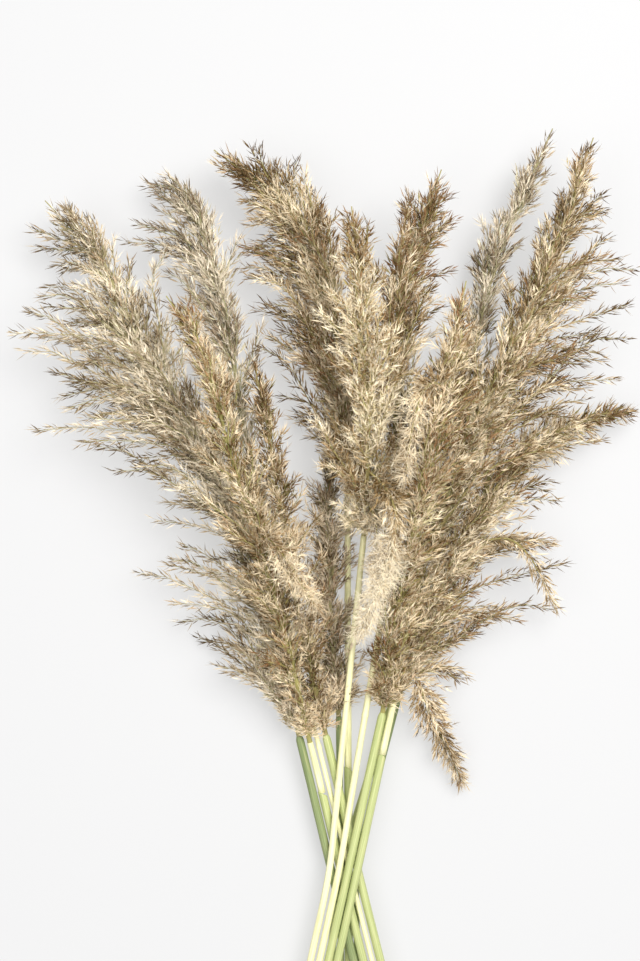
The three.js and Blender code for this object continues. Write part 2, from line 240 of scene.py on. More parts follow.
def softened(line):
    """The line in even steps along Y, its corners rounded by a running mean that is ROUNDING wide each
    way, and less near the ends."""
    y = np.append(np.arange(line[0, 1], line[-1, 1], STEM_STEP), line[-1, 1])
    reach = np.linspace(-1, 1, ROUNDING_SAMPLES) * ROUNDING
    near_end = np.minimum(y - line[0, 1], line[-1, 1] - y)[:, None]
    spots = y[:, None] + np.clip(reach, -near_end, near_end)
    x, z = (np.interp(spots, line[:, 1], line[:, k]).mean(1) for k in (0, 2))
    return np.stack([x, y, z], 1)


def tube_walls(rows, sides):
    """The triangles between a tube's rings of points, two to a quad, facing out."""
    row, side = np.meshgrid(np.arange(rows - 1), np.arange(sides), indexing="ij")
    a, b = row * sides + side, row * sides + (side + 1) % sides
    c, d = b + sides, a + sides
    return np.stack([a, c, b, a, d, c], -1).reshape(-1, 3)


def carried(line, along, radius, slant):
    """A closed tube: the ring of station i has the radii radius[i] and lies square to along[i], and its
    points lean by slant[i] along the line. Both ends close on the axis, and all faces point out."""
    across, upward = frames_along(along)
    ring = turned(across[:, None], upward[:, None], AROUND[:, None])
    points = line[:, None] + ring * radius[..., None] + along[:, None] * slant[..., None]
    count, sides = radius.shape
    points = np.concatenate([points.reshape(-1, 3), line[:1] + along[:1] * slant[0].mean(),
                             line[-1:] + along[-1:] * slant[-1].mean()])
    turn, far = np.arange(sides), (count - 1) * sides + np.arange(sides)
    first = np.stack([np.full(sides, count * sides), turn, (turn + 1) % sides], -1)
    last = np.stack([np.full(sides, count * sides + 1), np.roll(far, -1), far], -1)
    return points, np.concatenate([tube_walls(count, sides), first, last])


MAP_UNIT = 100
CAP_PATCH = 0.01


def tube_places(line, count_triangles):
    """The paint map of a carried tube: u once round it, v its length in units of 100 millimetres."""
    run = np.concatenate([[0], np.cumsum(np.linalg.norm(np.diff(line, axis=0), axis=1))]) / MAP_UNIT
    row, side = np.meshgrid(np.arange(len(line) - 1), np.arange(STEM_SIDES), indexing="ij")
    u0, u1 = side / STEM_SIDES, (side + 1) / STEM_SIDES
    v0, v1 = run[row], run[row + 1]
    corners = [(u0, v0), (u1, v1), (u1, v0), (u0, v0), (u0, v1), (u1, v1)]
    walls = np.stack([np.stack(corner, -1) for corner in corners], 2).reshape(-1, 3, 2)
    caps = np.zeros((count_triangles - len(walls), 3, 2))
    caps[:, 1, 0] = CAP_PATCH
    caps[:, 2, 1] = CAP_PATCH
    return np.concatenate([walls, caps])


# Where the lower sheaths of each stem end, and how far the culm then runs bare.
Stretch = namedtuple("Stretch", "mouth bare")
MOUTHS = {
    "01": [Stretch(-196, 26)], "02": [Stretch(-150, 20)], "03": [Stretch(-228, 18)],
    "04": [Stretch(-170, 30)], "05": [Stretch(-215, 22)], "06": [Stretch(-188, 24)],
    "07": [Stretch(-246, 16)], "08": [Stretch(-238, 20)], "09": [Stretch(-160, 28)],
    "10": [Stretch(-205, 24)], "11": [Stretch(-176, 22), Stretch(128, 16)], "12": [Stretch(-222, 30)],
}
MOUTH_EDGE, SHEATH_START = 0.5, 2
MOUTH_SLANT, MOUTH_REACH = 4.5, 9
TOP_SLANT, TOP_REACH = 0.6, 5
FACING_STEP = 1.7
NODE_RISE, NODE_LENGTH, COVERED_NODE = 0.35, 2.2, 0.6
RACHIS_ROOT, NARROWING, NARROWING_CURVE = 2.2, 4.0, 1.5
FINE_STEP, FINE_REACH, LEAST_STEP = 1.0, 3.5, 0.01


def sheath_profile(y, half, stretches):
    """Radius and bareness along a sheathed stem: at each mouth the sheath's wall ends, the culm runs bare
    and thinner for a stretch, and swells to a node where the next sheath begins."""
    radius, bare = np.full(len(y), half), np.zeros(len(y))
    for mouth, length in stretches:
        next_sheath = np.clip((mouth + length - y) / SHEATH_START + 1, 0, 1)
        inside = np.clip((y - mouth) / MOUTH_EDGE, 0, 1) * next_sheath
        radius -= SHEATH_WALL * inside
        bare = np.maximum(bare, inside)
        radius += NODE_RISE * COVERED_NODE * np.exp(-(((y - mouth - length) / NODE_LENGTH) ** 2))
    return np.minimum(radius, half), bare


def with_fine_rows(y, edges, reach):
    """The stations y, with closer ones within reach of each edge."""
    extra = [np.arange(edge - reach, edge + reach, FINE_STEP) for edge in edges]
    kept = np.concatenate([y, *extra])
    return np.unique(np.round(kept[(kept >= y[0]) & (kept <= y[-1])], 3))


def along_line(line, y):
    """The line's places at these y."""
    return np.stack([np.interp(y, line[:, 1], line[:, k]) if k != 1 else y for k in range(3)], 1)


# How far the cut slants, how deep the hollow runs, and how wide both are, as shares of the stem's radius,
# from the middle of the hollow's floor out to the edge of the cut.
FOOT_SLANT = 0.9
HOLLOW_DEPTH = 9.0
CUT_SHARES = (0.05, 0.5, 0.6, 0.93)


def cut_foot(line, along, radius, slant):
    """Adds the cut end: the wall turns in at a slanting cut, and the hollow runs a little way up inside."""
    end = line[0] + along[0] * HOLLOW_DEPTH
    deep = [end, end, line[0], line[0]]
    wide = np.array(CUT_SHARES)[:, None] * radius[0]
    tilt = np.zeros_like(wide)
    tilt[2:] = slant[0]
    heading = np.repeat(along[:1], len(deep), 0)
    return (np.vstack([deep, line]), np.vstack([heading, along]), np.vstack([wide, radius]),
            np.vstack([tilt, slant]))


def paint_attribute(piece, name, values):
    """A number for each point of the mesh, for its paint to read."""
    piece.data.attributes.new(name, "FLOAT", "POINT").data.foreach_set("value", values.astype(np.float32))


def sheathed_stem(reed):
    """A tube of the profile along the stem's line, its mouths leaning by a cosine round the stem. Where
    the plume comes straight out of it, its end narrows to the rachis."""
    whole = softened(stem_line(reed))
    top = whole[-1, 1] if reed.mouth is None else reed.mouth
    stretches = MOUTHS[reed.id]
    edges = [s.mouth for s in stretches] + [s.mouth + s.bare for s in stretches] + [top, reed.foot]
    y = with_fine_rows(whole[whole[:, 1] <= top, 1], edges, FINE_REACH)
    y = np.append(y[y < top - LEAST_STEP], top)
    line = along_line(whole, y)
    radius, bare = sheath_profile(y, reed.half, stretches)
    if reed.mouth is None:
        narrowing = np.clip(1 - (top - y) / NARROWING, 0, 1) ** NARROWING_CURVE
        radius -= (reed.half - RACHIS_ROOT) * narrowing
    lean = sum(np.exp(-(((y - s.mouth) / MOUTH_REACH) ** 2)) for s in stretches)
    facing = np.cos(AROUND + float(reed.id) * FACING_STEP)
    slant = MOUTH_SLANT * lean[:, None] * facing
    if reed.mouth is not None:
        slant += MOUTH_SLANT * np.exp(-(((y - top) / TOP_REACH) ** 2))[:, None] * (facing - 1) * TOP_SLANT
    slant[0] = FOOT_SLANT * (1 + facing)
    radii = np.repeat(radius[:, None], STEM_SIDES, 1)
    line, along, radii, slant = cut_foot(line, unit(np.gradient(line, axis=0)), radii, slant)
    bare = np.concatenate([np.ones(len(line) - len(bare)), bare])
    points, triangles = carried(line, along, radii, slant)
    places = tube_places(line, len(triangles))
    made = solid_mesh(f"sheathed_stem_{reed.id}_dressed", points, triangles, places, True)
    paint_attribute(made, "bare", np.append(np.repeat(bare, STEM_SIDES), [1, bare[-1]]))
    return made


def node(tree, kind, settings=None, **inputs):
    """A shader node with its settings, and its inputs set or linked by name, or by place, from _0 on."""
    made = tree.nodes.new("ShaderNode" + kind)
    for key, value in (settings or {}).items():
        setattr(made, key, value)
    for key, value in inputs.items():
        socket = made.inputs[int(key[1:]) if key[0] == "_" else key.replace("_", " ")]
        if isinstance(value, bpy.types.NodeSocket):
            tree.links.new(value, socket)
        else:
            socket.default_value = value
    return made


def number(tree, operation, *values):
    """The result of a Math node on numbers or sockets."""
    inputs = {f"_{place}": value for place, value in enumerate(values)}
    return node(tree, "Math", {"operation": operation}, **inputs).outputs[0]


def mixed(tree, share, first, second):
    """The colour between first and second by share."""
    return node(tree, "Mix", {"data_type": "RGBA"}, _0=share, _6=first, _7=second).outputs[2]


def ramp(tree, value, low, high):
    """How far the value is from low to high, from 0 to 1."""
    return node(tree, "MapRange", Value=value, _1=low, _2=high).outputs[0]


STREAKS_CLOSE, BLOTCHES_CLOSE = 0.35, 2.2


def ribs_group():
    """Fine ribs and long streaks on a stalk. Place is the tube's map: once round in u, length in v."""
    tree = bpy.data.node_groups.new("stalk ribs", "ShaderNodeTree")
    tree.interface.new_socket("Place", in_out="INPUT", socket_type="NodeSocketVector")
    tree.interface.new_socket("Rib count", in_out="INPUT", socket_type="NodeSocketFloat")
    for name in ("Ribs", "Streaks", "Blotches"):
        tree.interface.new_socket(name, in_out="OUTPUT", socket_type="NodeSocketFloat")
    given, result = tree.nodes.new("NodeGroupInput"), tree.nodes.new("NodeGroupOutput")
    place = node(tree, "SeparateXYZ", _0=given.outputs["Place"])
    angle = number(tree, "MULTIPLY", place.outputs[0], 2 * math.pi)

    def wrapped(close):
        """The place on a cylinder, so that a pattern meets itself behind the stalk."""
        x, y = number(tree, "COSINE", angle), number(tree, "SINE", angle)
        z = number(tree, "MULTIPLY", place.outputs[1], close)
        return node(tree, "CombineXYZ", _0=x, _1=y, _2=z).outputs[0]

    ribs = number(tree, "SINE", number(tree, "MULTIPLY", angle, given.outputs["Rib count"]))
    streaks = node(tree, "TexNoise", Vector=wrapped(STREAKS_CLOSE), Scale=5.5, Detail=3.0, Roughness=0.6)
    blotches = node(tree, "TexNoise", Vector=wrapped(BLOTCHES_CLOSE), Scale=1.6, Detail=2.0)
    tree.links.new(ribs, result.inputs["Ribs"])
    tree.links.new(streaks.outputs["Fac"], result.inputs["Streaks"])
    tree.links.new(blotches.outputs["Fac"], result.inputs["Blotches"])
    return tree


STALK_RIBS = ribs_group()
STREAK_RANGE, BLOTCH_RANGE = (0.35, 0.65), (0.56, 0.72)
BLOTCH_STRENGTH = 0.55
STRAW_PALE, STRAW_DEEP = (0.80, 0.78, 0.46, 1), (0.64, 0.60, 0.28, 1)
RIB_HEIGHT = 0.25
STALK_SHINE = 0.35


def stalk_paint(name, pale, deep, dry, ribs, roughness):
    """A stalk's finish: streaks from pale to deep, blotches of dry, and bare stretches of straw."""
    paint, surface = new_paint(name, roughness, STALK_SHINE)
    tree = paint.node_tree
    place = node(tree, "UVMap", {"uv_map": "Tone"})
    detail = tree.nodes.new("ShaderNodeGroup")
    detail.node_tree = STALK_RIBS
    detail.inputs["Rib count"].default_value = ribs
    tree.links.new(place.outputs[0], detail.inputs["Place"])
    streak = ramp(tree, detail.outputs["Streaks"], *STREAK_RANGE)
    blotch = ramp(tree, detail.outputs["Blotches"], *BLOTCH_RANGE)
    bare = node(tree, "Attribute", {"attribute_name": "bare"}).outputs["Fac"]
    colour = mixed(tree, streak, pale, deep)
    colour = mixed(tree, number(tree, "MULTIPLY", blotch, BLOTCH_STRENGTH), colour, dry)
    straw = mixed(tree, streak, STRAW_PALE, STRAW_DEEP)
    tree.links.new(mixed(tree, bare, colour, straw), surface.inputs["Base Color"])
    rib_height = number(tree, "MULTIPLY", detail.outputs["Ribs"], RIB_HEIGHT)
    height = number(tree, "ADD", rib_height, detail.outputs["Streaks"])
    bump = node(tree, "Bump", Strength=0.35, Distance=0.0002, Height=height)
    tree.links.new(bump.outputs[0], surface.inputs["Normal"])
    return paint


SHEATH_RIBS, SHEATH_ROUGHNESS = 30.0, 0.55
SHEATH_PAINTS = {
    "light": stalk_paint("green leaf sheath", (0.56, 0.60, 0.29, 1), (0.34, 0.40, 0.15, 1),
                         (0.62, 0.58, 0.29, 1), SHEATH_RIBS, SHEATH_ROUGHNESS),
    "dark": stalk_paint("dark green leaf sheath", (0.31, 0.37, 0.17, 1), (0.15, 0.20, 0.075, 1),
                        (0.40, 0.38, 0.18, 1), SHEATH_RIBS, SHEATH_ROUGHNESS),
}
DARK_STEMS = ("01", "05", "11")

for reed in REEDS:
    stem = sheathed_stem(reed)
    stem.data.materials.append(SHEATH_PAINTS["dark" if reed.id in DARK_STEMS else "light"])
    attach(stem, "root")
    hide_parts(f"sheathed_stem_{reed.id}")

# Bare culms. Out of the mouth of the top sheath comes the culm itself, pale yellow, smooth and faintly
# ribbed, with a thin darker ring at a node, and at its top end the plume begins.
CULM_RIBS, CULM_ROUGHNESS = 24.0, 0.4
CULM_PAINT = stalk_paint("straw culm", (0.94, 0.92, 0.60, 1), (0.76, 0.73, 0.38, 1),
                         (0.46, 0.48, 0.22, 1), CULM_RIBS, CULM_ROUGHNESS)
CULM_NODES = {"03": 90, "06": 212, "07": 60, "08": 118}
CULM_SINK = 6.0
CULM_TOP = 0.86
RING_REACH = 4


def bare_culm(reed):
    """A tube from a little way inside the sheath's mouth to the plume, thinner towards its top, with a low
    ring at its node."""
    whole = softened(stem_line(reed))
    start = reed.mouth - CULM_SINK
    ring = CULM_NODES.get(reed.id)
    y = with_fine_rows(whole[whole[:, 1] >= start, 1], [ring] if ring else [], RING_REACH)
    line = along_line(whole, y)
    radius = np.full(len(y), reed.half - SHEATH_WALL)
    radius *= np.interp(y, [start, y[-1]], [1.0, CULM_TOP])
    if ring:
        radius += NODE_RISE * np.exp(-(((y - ring) / NODE_LENGTH) ** 2))
    radii = np.repeat(radius[:, None], STEM_SIDES, 1)
    points, triangles = carried(line, unit(np.gradient(line, axis=0)), radii, np.zeros_like(radii))
    places = tube_places(line, len(triangles))
    made = solid_mesh(f"bare_culm_{reed.id}_dressed", points, triangles, places, True)
    paint_attribute(made, "bare", np.zeros(len(points)))
    return made


for reed in REEDS:
    if reed.mouth is None:
        continue
    culm = bare_culm(reed)
    culm.data.materials.append(CULM_PAINT)
    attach(culm, "root")
    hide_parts(f"bare_culm_{reed.id}")

# Plumes. A plume is one grown piece: a rachis with side branches that ascend all round it, finer branchlets
# along each, and on those the spikelets, brown and tan husks as long as a grain of rice, with silky pale
# hairs that stand out when the seed is ripe.
GOLDEN = 2.39996
RACHIS_BASE, RACHIS_TIP, RACHIS_ROWS, RACHIS_SIDES = 2.1, 0.45, 40, 8
BRANCH_BASE, BRANCH_TIP, BRANCH_ROWS, BRANCH_SIDES = 0.65, 0.2, 8, 3

# A plume's form: the tips of its outline's branches, its spread to the left, to the right and in depth, how
# many more branches fill it, and its paint.
Form = namedtuple("Form", "tips left right depth fill paint")
FORMS = {
    "01": Form([(-211, 529), (-225, 535), (-176, 491), (-260, 498), (-251, 466), (-274, 428),
                (-268, 413), (-238, 376), (-257, 348), (-194, 315), (-163, 279), (-176, 234),
                (-146, 191), (-109, 181), (-114, 156), (-160, 465), (-145, 443), (-118, 232),
                (-232, 439), (-240, 396), (-229, 364), (-220, 340), (-126, 392)],
               64, 60, 46, 88, "bleached"),
    "02": Form([(-126, 453), (-136, 426), (-96, 404), (-83, 355), (-67, 303), (-93, 224), (-75, 172)],
               38, 34, 38, 76, "rust"),
    "03": Form([(-155, 555), (-133, 548), (-123, 536), (-115, 519), (-107, 494), (-90, 459),
                (-163, 543), (-172, 518), (-187, 503), (-154, 479), (-150, 450), (-138, 425),
                (-124, 400)],
               46, 36, 34, 50, "grey"),
    "04": Form([(-70, 394), (-65, 372), (-50, 337), (-49, 320), (-33, 279), (-20, 227), (-14, 182)],
               34, 34, 34, 66, "brown"),
    "05": Form([(-28, 300), (-8, 328), (-1, 278), (-38, 245), (8, 204), (-26, 171), (16, 132)],
               30, 36, 30, 88, "dusky"),
    "06": Form([(-75, 583), (-41, 573), (-26, 548), (-87, 557), (-80, 520), (-91, 496), (-94, 480),
                (-81, 450), (-65, 430), (-80, 420), (-62, 381), (-7, 527), (-38, 344), (-97, 562),
                (-90, 536), (-88, 476), (-72, 456)],
               66, 46, 46, 104, "tan"),
    "07": Form([(-2, 504), (19, 501), (-10, 452), (-20, 413), (33, 472), (49, 437), (-17, 366),
                (60, 397), (-9, 319), (61, 350), (45, 303)],
               46, 46, 44, 80, "cream"),
    "08": Form([(45, 535), (39, 498), (88, 514), (84, 538), (88, 478), (28, 463), (79, 447), (84, 407)],
               40, 46, 38, 74, "tan"),
    "09": Form([(83, 454), (105, 430), (109, 374), (99, 319), (86, 263), (56, 382), (91, 216),
                (45, 319), (14, 174), (18, 142)],
               44, 44, 42, 108, "rust"),
    "10": Form([(186, 569), (212, 527), (214, 506), (234, 476), (230, 452), (234, 424), (224, 392),
                (168, 536), (139, 480), (212, 343), (199, 373), (193, 399), (151, 519)],
               50, 62, 46, 134, "tan"),
    "11": Form([(154, 581), (145, 563), (132, 544), (123, 527), (111, 512), (104, 499), (98, 462),
                (165, 561)],
               36, 40, 36, 48, "grey"),
    "12": Form([(239, 361), (184, 324), (176, 289), (169, 254), (186, 243), (176, 201), (132, 205),
                (114, 186), (110, 139), (208, 344)],
               40, 38, 40, 122, "tan"),
}

DRAW_RATE, DRAW_SCALE = 12.9898, 43758.5453


def draw(key):
    """A number from 0 to 1 that looks random and is the same each time for the same key: the fraction of
    a steep sine of the key."""
    wave = np.sin(key * DRAW_RATE) * DRAW_SCALE
    return wave - np.floor(wave)


def smooth_run(knots, steps=400):
    """A Catmull-Rom curve through the knots, as points evenly spaced along its length."""
    knots = np.array(knots, float)
    padded = np.vstack([2 * knots[0] - knots[1], knots, 2 * knots[-1] - knots[-2]])
    share = np.linspace(0, len(knots) - 1, steps + 1)
    k = np.minimum(share.astype(int), len(knots) - 2)
    t = (share - k)[:, None]
    p0, p1, p2, p3 = (padded[k + i] for i in range(4))
    m1, m2 = (p2 - p0) / 2, (p3 - p1) / 2
    curve = p1 + m1 * t + (3 * (p2 - p1) - 2 * m1 - m2) * t**2 + (2 * (p1 - p2) + m1 + m2) * t**3
    run = np.concatenate([[0], np.cumsum(np.linalg.norm(np.diff(curve, axis=0), axis=1))])
    even = np.linspace(0, run[-1], steps + 1)
    return np.stack([np.interp(even, run, curve[:, i]) for i in range(3)], 1), run[-1]


def at_share(curve, share):
    """The places on an evenly spaced curve at these shares of its length."""
    spot = np.clip(share, 0, 1) * (len(curve) - 1)
    return np.stack([np.interp(spot, np.arange(len(curve)), curve[:, i]) for i in range(3)], -1)


def heading_at(curve, share):
    """The way the curve runs there, from a hundredth of it before to a hundredth after."""
    return unit(at_share(curve, share + 0.01) - at_share(curve, share - 0.01))


def nearest_share(curve, tips):
    """The share of the curve that is nearest to each tip, to a fiftieth, and how far off it is."""
    shares = np.arange(0, 1.001, 0.02)
    gap = np.linalg.norm(at_share(curve, shares)[None] - tips[:, None], axis=2)
    return shares[gap.argmin(1)], gap.min(1)


FIRST_ROOT, LAST_ROOT = 0.006, 0.9
STEEP_LEAST, STEEP_VARIES, BELOW_TIP = 1.2, 1.0, 8


def root_share(curve, length, tips):
    """Where each branch leaves the rachis: lower than its tip, the more so the further out the tip is, and
    some of them steeper than others."""
    share, gap = nearest_share(curve, tips)
    steep = STEEP_LEAST + STEEP_VARIES * draw(np.arange(len(tips)) + length)
    return np.clip(share - (steep * gap + BELOW_TIP) / length, FIRST_ROOT, LAST_ROOT)


GUESSED_HEIGHT = 60.0
OUTLINE_LOWEST, INSIDE_LOWEST = 2, 3
TIP_AHEAD = 0.2
COMPANIONS = 3
PULL_LEAST, PULL_VARIES = 0.5, 0.42
SHIFT_VARIES, SHIFT_BACK, SHIFT_GROWS, SHIFT_LEAST = 44, 30, 3, 0.2


def outline_tips(form, seed, curve, length):
    """The tips of the outline's branches, and round each some shorter ones, pulled in to the rachis and
    shifted along it, less so near the plume's foot."""
    flat = np.array([(x, y, GUESSED_HEIGHT) for x, y in form.tips])
    near = at_share(curve, root_share(curve, length, flat) + TIP_AHEAD)
    rise = (draw(seed + np.arange(len(flat))) - 0.5) * form.depth
    tips = flat.copy()
    tips[:, 2] = np.maximum(OUTLINE_LOWEST, near[:, 2] + rise)
    owner = np.repeat(np.arange(len(tips)), COMPANIONS)
    key = seed * 10 + np.arange(len(owner))
    share, _ = nearest_share(curve, tips[owner])
    spot = at_share(curve, share)
    pull = PULL_LEAST + PULL_VARIES * draw(key)[:, None]
    shift = (draw(key + 400) * SHIFT_VARIES - SHIFT_BACK) * np.clip(SHIFT_GROWS * share, SHIFT_LEAST, 1)
    shorter = spot + (tips[owner] - spot) * pull + heading_at(curve, share) * shift[:, None]
    shorter[:, 2] = np.maximum(INSIDE_LOWEST, shorter[:, 2] + (draw(key + 800) - 0.5) * form.depth)
    return np.vstack([tips, shorter])


FILL_FROM, FILL_SPAN = 0.05, 0.93
WIDENING, END_BEYOND, END_CURVE = 2.0, 1.06, 1.2
REACH_LEAST, REACH_VARIES, REACH_CURVE = 0.15, 0.9, 1.4
COLLAR = 26
COLLAR_FROM, COLLAR_SPAN = 1, 40
COLLAR_REACH, COLLAR_VARIES = 6, 8
COLLAR_SLIM, COLLAR_WIDENS = 0.8, 3


def inner_tips(form, seed, curve, length, base, blunt):
    """The tips of the other branches. They turn by the golden angle round the rachis and reach out by the
    plume's spread, and a collar of short ones sits at its base. base is the share of the spread that is
    reached there, and the plume keeps its spread the nearer to its tip, the more blunt it is."""
    i = np.arange(form.fill)
    share = FILL_FROM + FILL_SPAN * (i + 0.5) / form.fill
    closing = np.minimum(1, blunt * (END_BEYOND - share)) ** END_CURVE
    full = np.minimum(1, base + WIDENING * share) * closing
    out = full * (REACH_LEAST + REACH_VARIES * draw(seed + 90 + i) ** REACH_CURVE)
    low = np.arange(COLLAR)
    share = np.concatenate([share, (COLLAR_FROM + COLLAR_SPAN * draw(seed + 30 + low)) / length])
    short = (COLLAR_REACH + COLLAR_VARIES * draw(seed + 60 + low)) * (COLLAR_SLIM + COLLAR_WIDENS * base)
    out = np.concatenate([out, short / form.depth])
    i = np.arange(len(share))
    across, upward = frames_along(heading_at(curve, share))
    angle = i * GOLDEN + draw(seed + 50 + i)
    wide = np.where(np.cos(angle) > 0, form.right, form.left)
    wide[form.fill:] = form.depth
    tips = at_share(curve, share) + across * (np.cos(angle) * wide * out)[:, None]
    tips += upward * (np.sin(angle) * form.depth * out)[:, None]
    tips[:, 2] = np.maximum(INSIDE_LOWEST, tips[:, 2])
    return tips


ASCENT, ARCHING = 0.62, 0.2
TIP_ROOM, SHORTENED_LEAST = 9.0, 0.5
WOBBLE, WOBBLE_ACROSS, WOBBLE_UPWARD = 0.06, 5, 4
SAG, SAG_KEY = 0.22, 1.7


def branch_runs(curve, length, tips, rows):
    """Each branch as a run of points: it leaves along the rachis and arches out to its tip, a quadratic
    Bezier curve with a slow wobble and an end that hangs more or less towards the foot, and it stops
    short by the room that its last spikelets need."""
    share = root_share(curve, length, tips)
    start = at_share(curve, share)
    reach = np.linalg.norm(tips - start, axis=1)[:, None]
    control = (start + heading_at(curve, share) * ASCENT * reach) * (1 - ARCHING) + tips * ARCHING
    t = np.linspace(0, 1, rows)[None, :, None] * np.maximum(SHORTENED_LEAST, 1 - TIP_ROOM / reach)[:, None]
    arch = start[:, None] * (1 - t) ** 2 + control[:, None] * 2 * t * (1 - t) + tips[:, None] * t**2
    across, upward = frames_along(unit(tips - start))
    phase = (np.arange(len(tips)) * GOLDEN)[:, None, None]
    sway = across[:, None] * np.sin(WOBBLE_ACROSS * t + phase)
    sway = sway + upward[:, None] * np.sin(WOBBLE_UPWARD * t + 2 * phase)
    arch += sway * np.sin(np.pi * t) * reach[:, None] * WOBBLE
    sag = SAG * draw(np.arange(len(tips)) * SAG_KEY + length)[:, None, None]
    return arch + np.array((0, 1, 0)) * t * (1 - t**2) * reach[:, None] * sag


BOX_ROOM = 0.6
SHORTEST = 1.0


def kept_inside(root, heading, length):
    """Bends back what would leave the solids' box: its end moves to the nearest place inside, and the
    heading and the length follow."""
    low, high = (np.array(corner) / MM for corner in cad_box)
    end = np.clip(root + heading * length[:, None], low + BOX_ROOM, high - BOX_ROOM)
    way = end - root
    return unit(way), np.maximum(np.linalg.norm(way, axis=1), SHORTEST)


# On a plume's paint map u is the shade, from dark to light, and v the part: each of these rows starts one.
STALK_ROW, HUSK_ROW, WARM_ROW, GREEN_ROW, HAIR_ROW = 0.02, 0.2, 0.4, 0.6, 0.8
Shape = namedtuple("Shape", "points triangles places")


def repeated(one, count):
    """The triangles of one small shape, numbered on for this many copies of it."""
    return (one[None] + (np.arange(count) * (one.max() + 1))[:, None, None]).reshape(-1, 3)


def on_map(u, v):
    """A place on the paint map for each corner of every copy of a small shape."""
    return np.stack(np.broadcast_arrays(u, v), -1).reshape(-1, 3, 2)


TWIG_U_STEP, TWIG_V_SPAN = 0.02, 0.1


def twigs(runs, thick, thin, sides, shade):
    """Twigs along many runs of points at once: a ring of points at each station, evenly thinner from foot
    to tip, and a fan of triangles over both ends."""
    count, rows, _ = runs.shape
    across, upward = frames_along(unit(np.gradient(runs, axis=1)))
    angle = (np.arange(sides) * 2 * np.pi / sides)[:, None]
    ring = turned(across[:, :, None], upward[:, :, None], angle)
    radius = np.linspace(thick, thin, rows)[None, :, None, None]
    points = (runs[:, :, None] + ring * radius).reshape(-1, 3)
    fan, last = np.arange(1, sides - 1), (rows - 1) * sides
    foot = np.stack([0 * fan, fan, fan + 1], -1)
    one = np.concatenate([tube_walls(rows, sides), foot, last + foot[:, ::-1]])
    v = STALK_ROW + TWIG_V_SPAN * (one // sides) / rows
    u = shade[:, None, None] + TWIG_U_STEP * (one % sides)[None]
    return Shape(points, repeated(one, count), on_map(u, v))


# A husk's four points are its root, its two edges and its tip. KEEL is half the turn between the edges.
KEEL, WIDEST_AT, EDGE_SHARE = 0.9, 0.4, 0.64
HUSK_U, HUSK_V = (0, -0.008, 0.008, 0), (0, 0.07, 0.08, 0.14)


def husks(root, heading, length, width, shade, row, turn):
    """Keeled husks, one for each root and heading: two edges, widest at two fifths of the length, stand out
    from a straight keel between two pointed ends. row is where each one's paint starts on the map."""
    across, upward = frames_along(heading)
    edge = turned(across[:, None], upward[:, None], (turn[:, None] + np.array((-KEEL, KEEL)))[..., None])
    middle = (root + heading * WIDEST_AT * length[:, None])[:, None]
    middle = middle + edge * width[:, None, None] * EDGE_SHARE
    tip = root + heading * length[:, None]
    points = np.concatenate([root[:, None], middle, tip[:, None]], 1).reshape(-1, 3)
    one = np.array([(0, 1, 2), (3, 2, 1), (0, 3, 1), (0, 2, 3)])
    u = shade[:, None, None] + np.array(HUSK_U)[one]
    v = row[:, None, None] + np.array(HUSK_V)[one]
    return Shape(points, repeated(one, len(root)), on_map(u, v))


# A needle's four points are the three round its foot, and its tip.
NEEDLE_U, NEEDLE_V = (0, 0.01, 0.02, 0.01), (0, 0, 0.02, 0.12)


def needles(root, heading, length, width, shade, row):
    """Needles of four faces: hairs, and the stalks that spikelets sit on. row is where their paint starts
    on the map."""
    across, upward = frames_along(heading)
    angle = (np.arange(3) * 2 * np.pi / 3)[:, None]
    foot = root[:, None] + turned(across[:, None], upward[:, None], angle) * width / 2
    tip = root + heading * length[:, None]
    points = np.concatenate([foot, tip[:, None]], 1).reshape(-1, 3)
    one = np.array([(0, 1, 2), (0, 3, 1), (1, 3, 2), (2, 3, 0)])
    u = shade[:, None, None] + np.array(NEEDLE_U)[one]
    v = row + np.array(NEEDLE_V)[one]
    return Shape(points, repeated(one, len(root)), on_map(u, v))


def joined(shapes):
    """Several shapes as one."""
    offset = np.cumsum([0] + [len(s.points) for s in shapes[:-1]])
    return Shape(
        np.concatenate([s.points for s in shapes]),
        np.concatenate([s.triangles + o for s, o in zip(shapes, offset)]),
        np.concatenate([s.places for s in shapes]),
    )


def counted(numbers):
    """For groups of these numbers of members: the group of each member, and its place in that group."""
    group = np.repeat(np.arange(len(numbers)), numbers)
    return group, np.arange(len(group)) - np.repeat(np.cumsum(numbers) - numbers, numbers)


PATCH_WAVES, PATCH_WAVES_VARY = 6, (0.6, 1.5)


def patches(points, size, seed):
    """Soft random patches, from -1 to 1: the mean of six sine waves that cross at random, of about this
    size from crest to crest."""
    random = np.random.default_rng(seed)
    way = unit(random.normal(size=(PATCH_WAVES, 3)))
    way = way * random.uniform(*PATCH_WAVES_VARY, (PATCH_WAVES, 1)) * 2 * np.pi / size
    phase = random.uniform(0, 2 * np.pi, PATCH_WAVES)
    return np.clip(np.sin(points @ way.T + phase).mean(1) * 2, -1, 1)


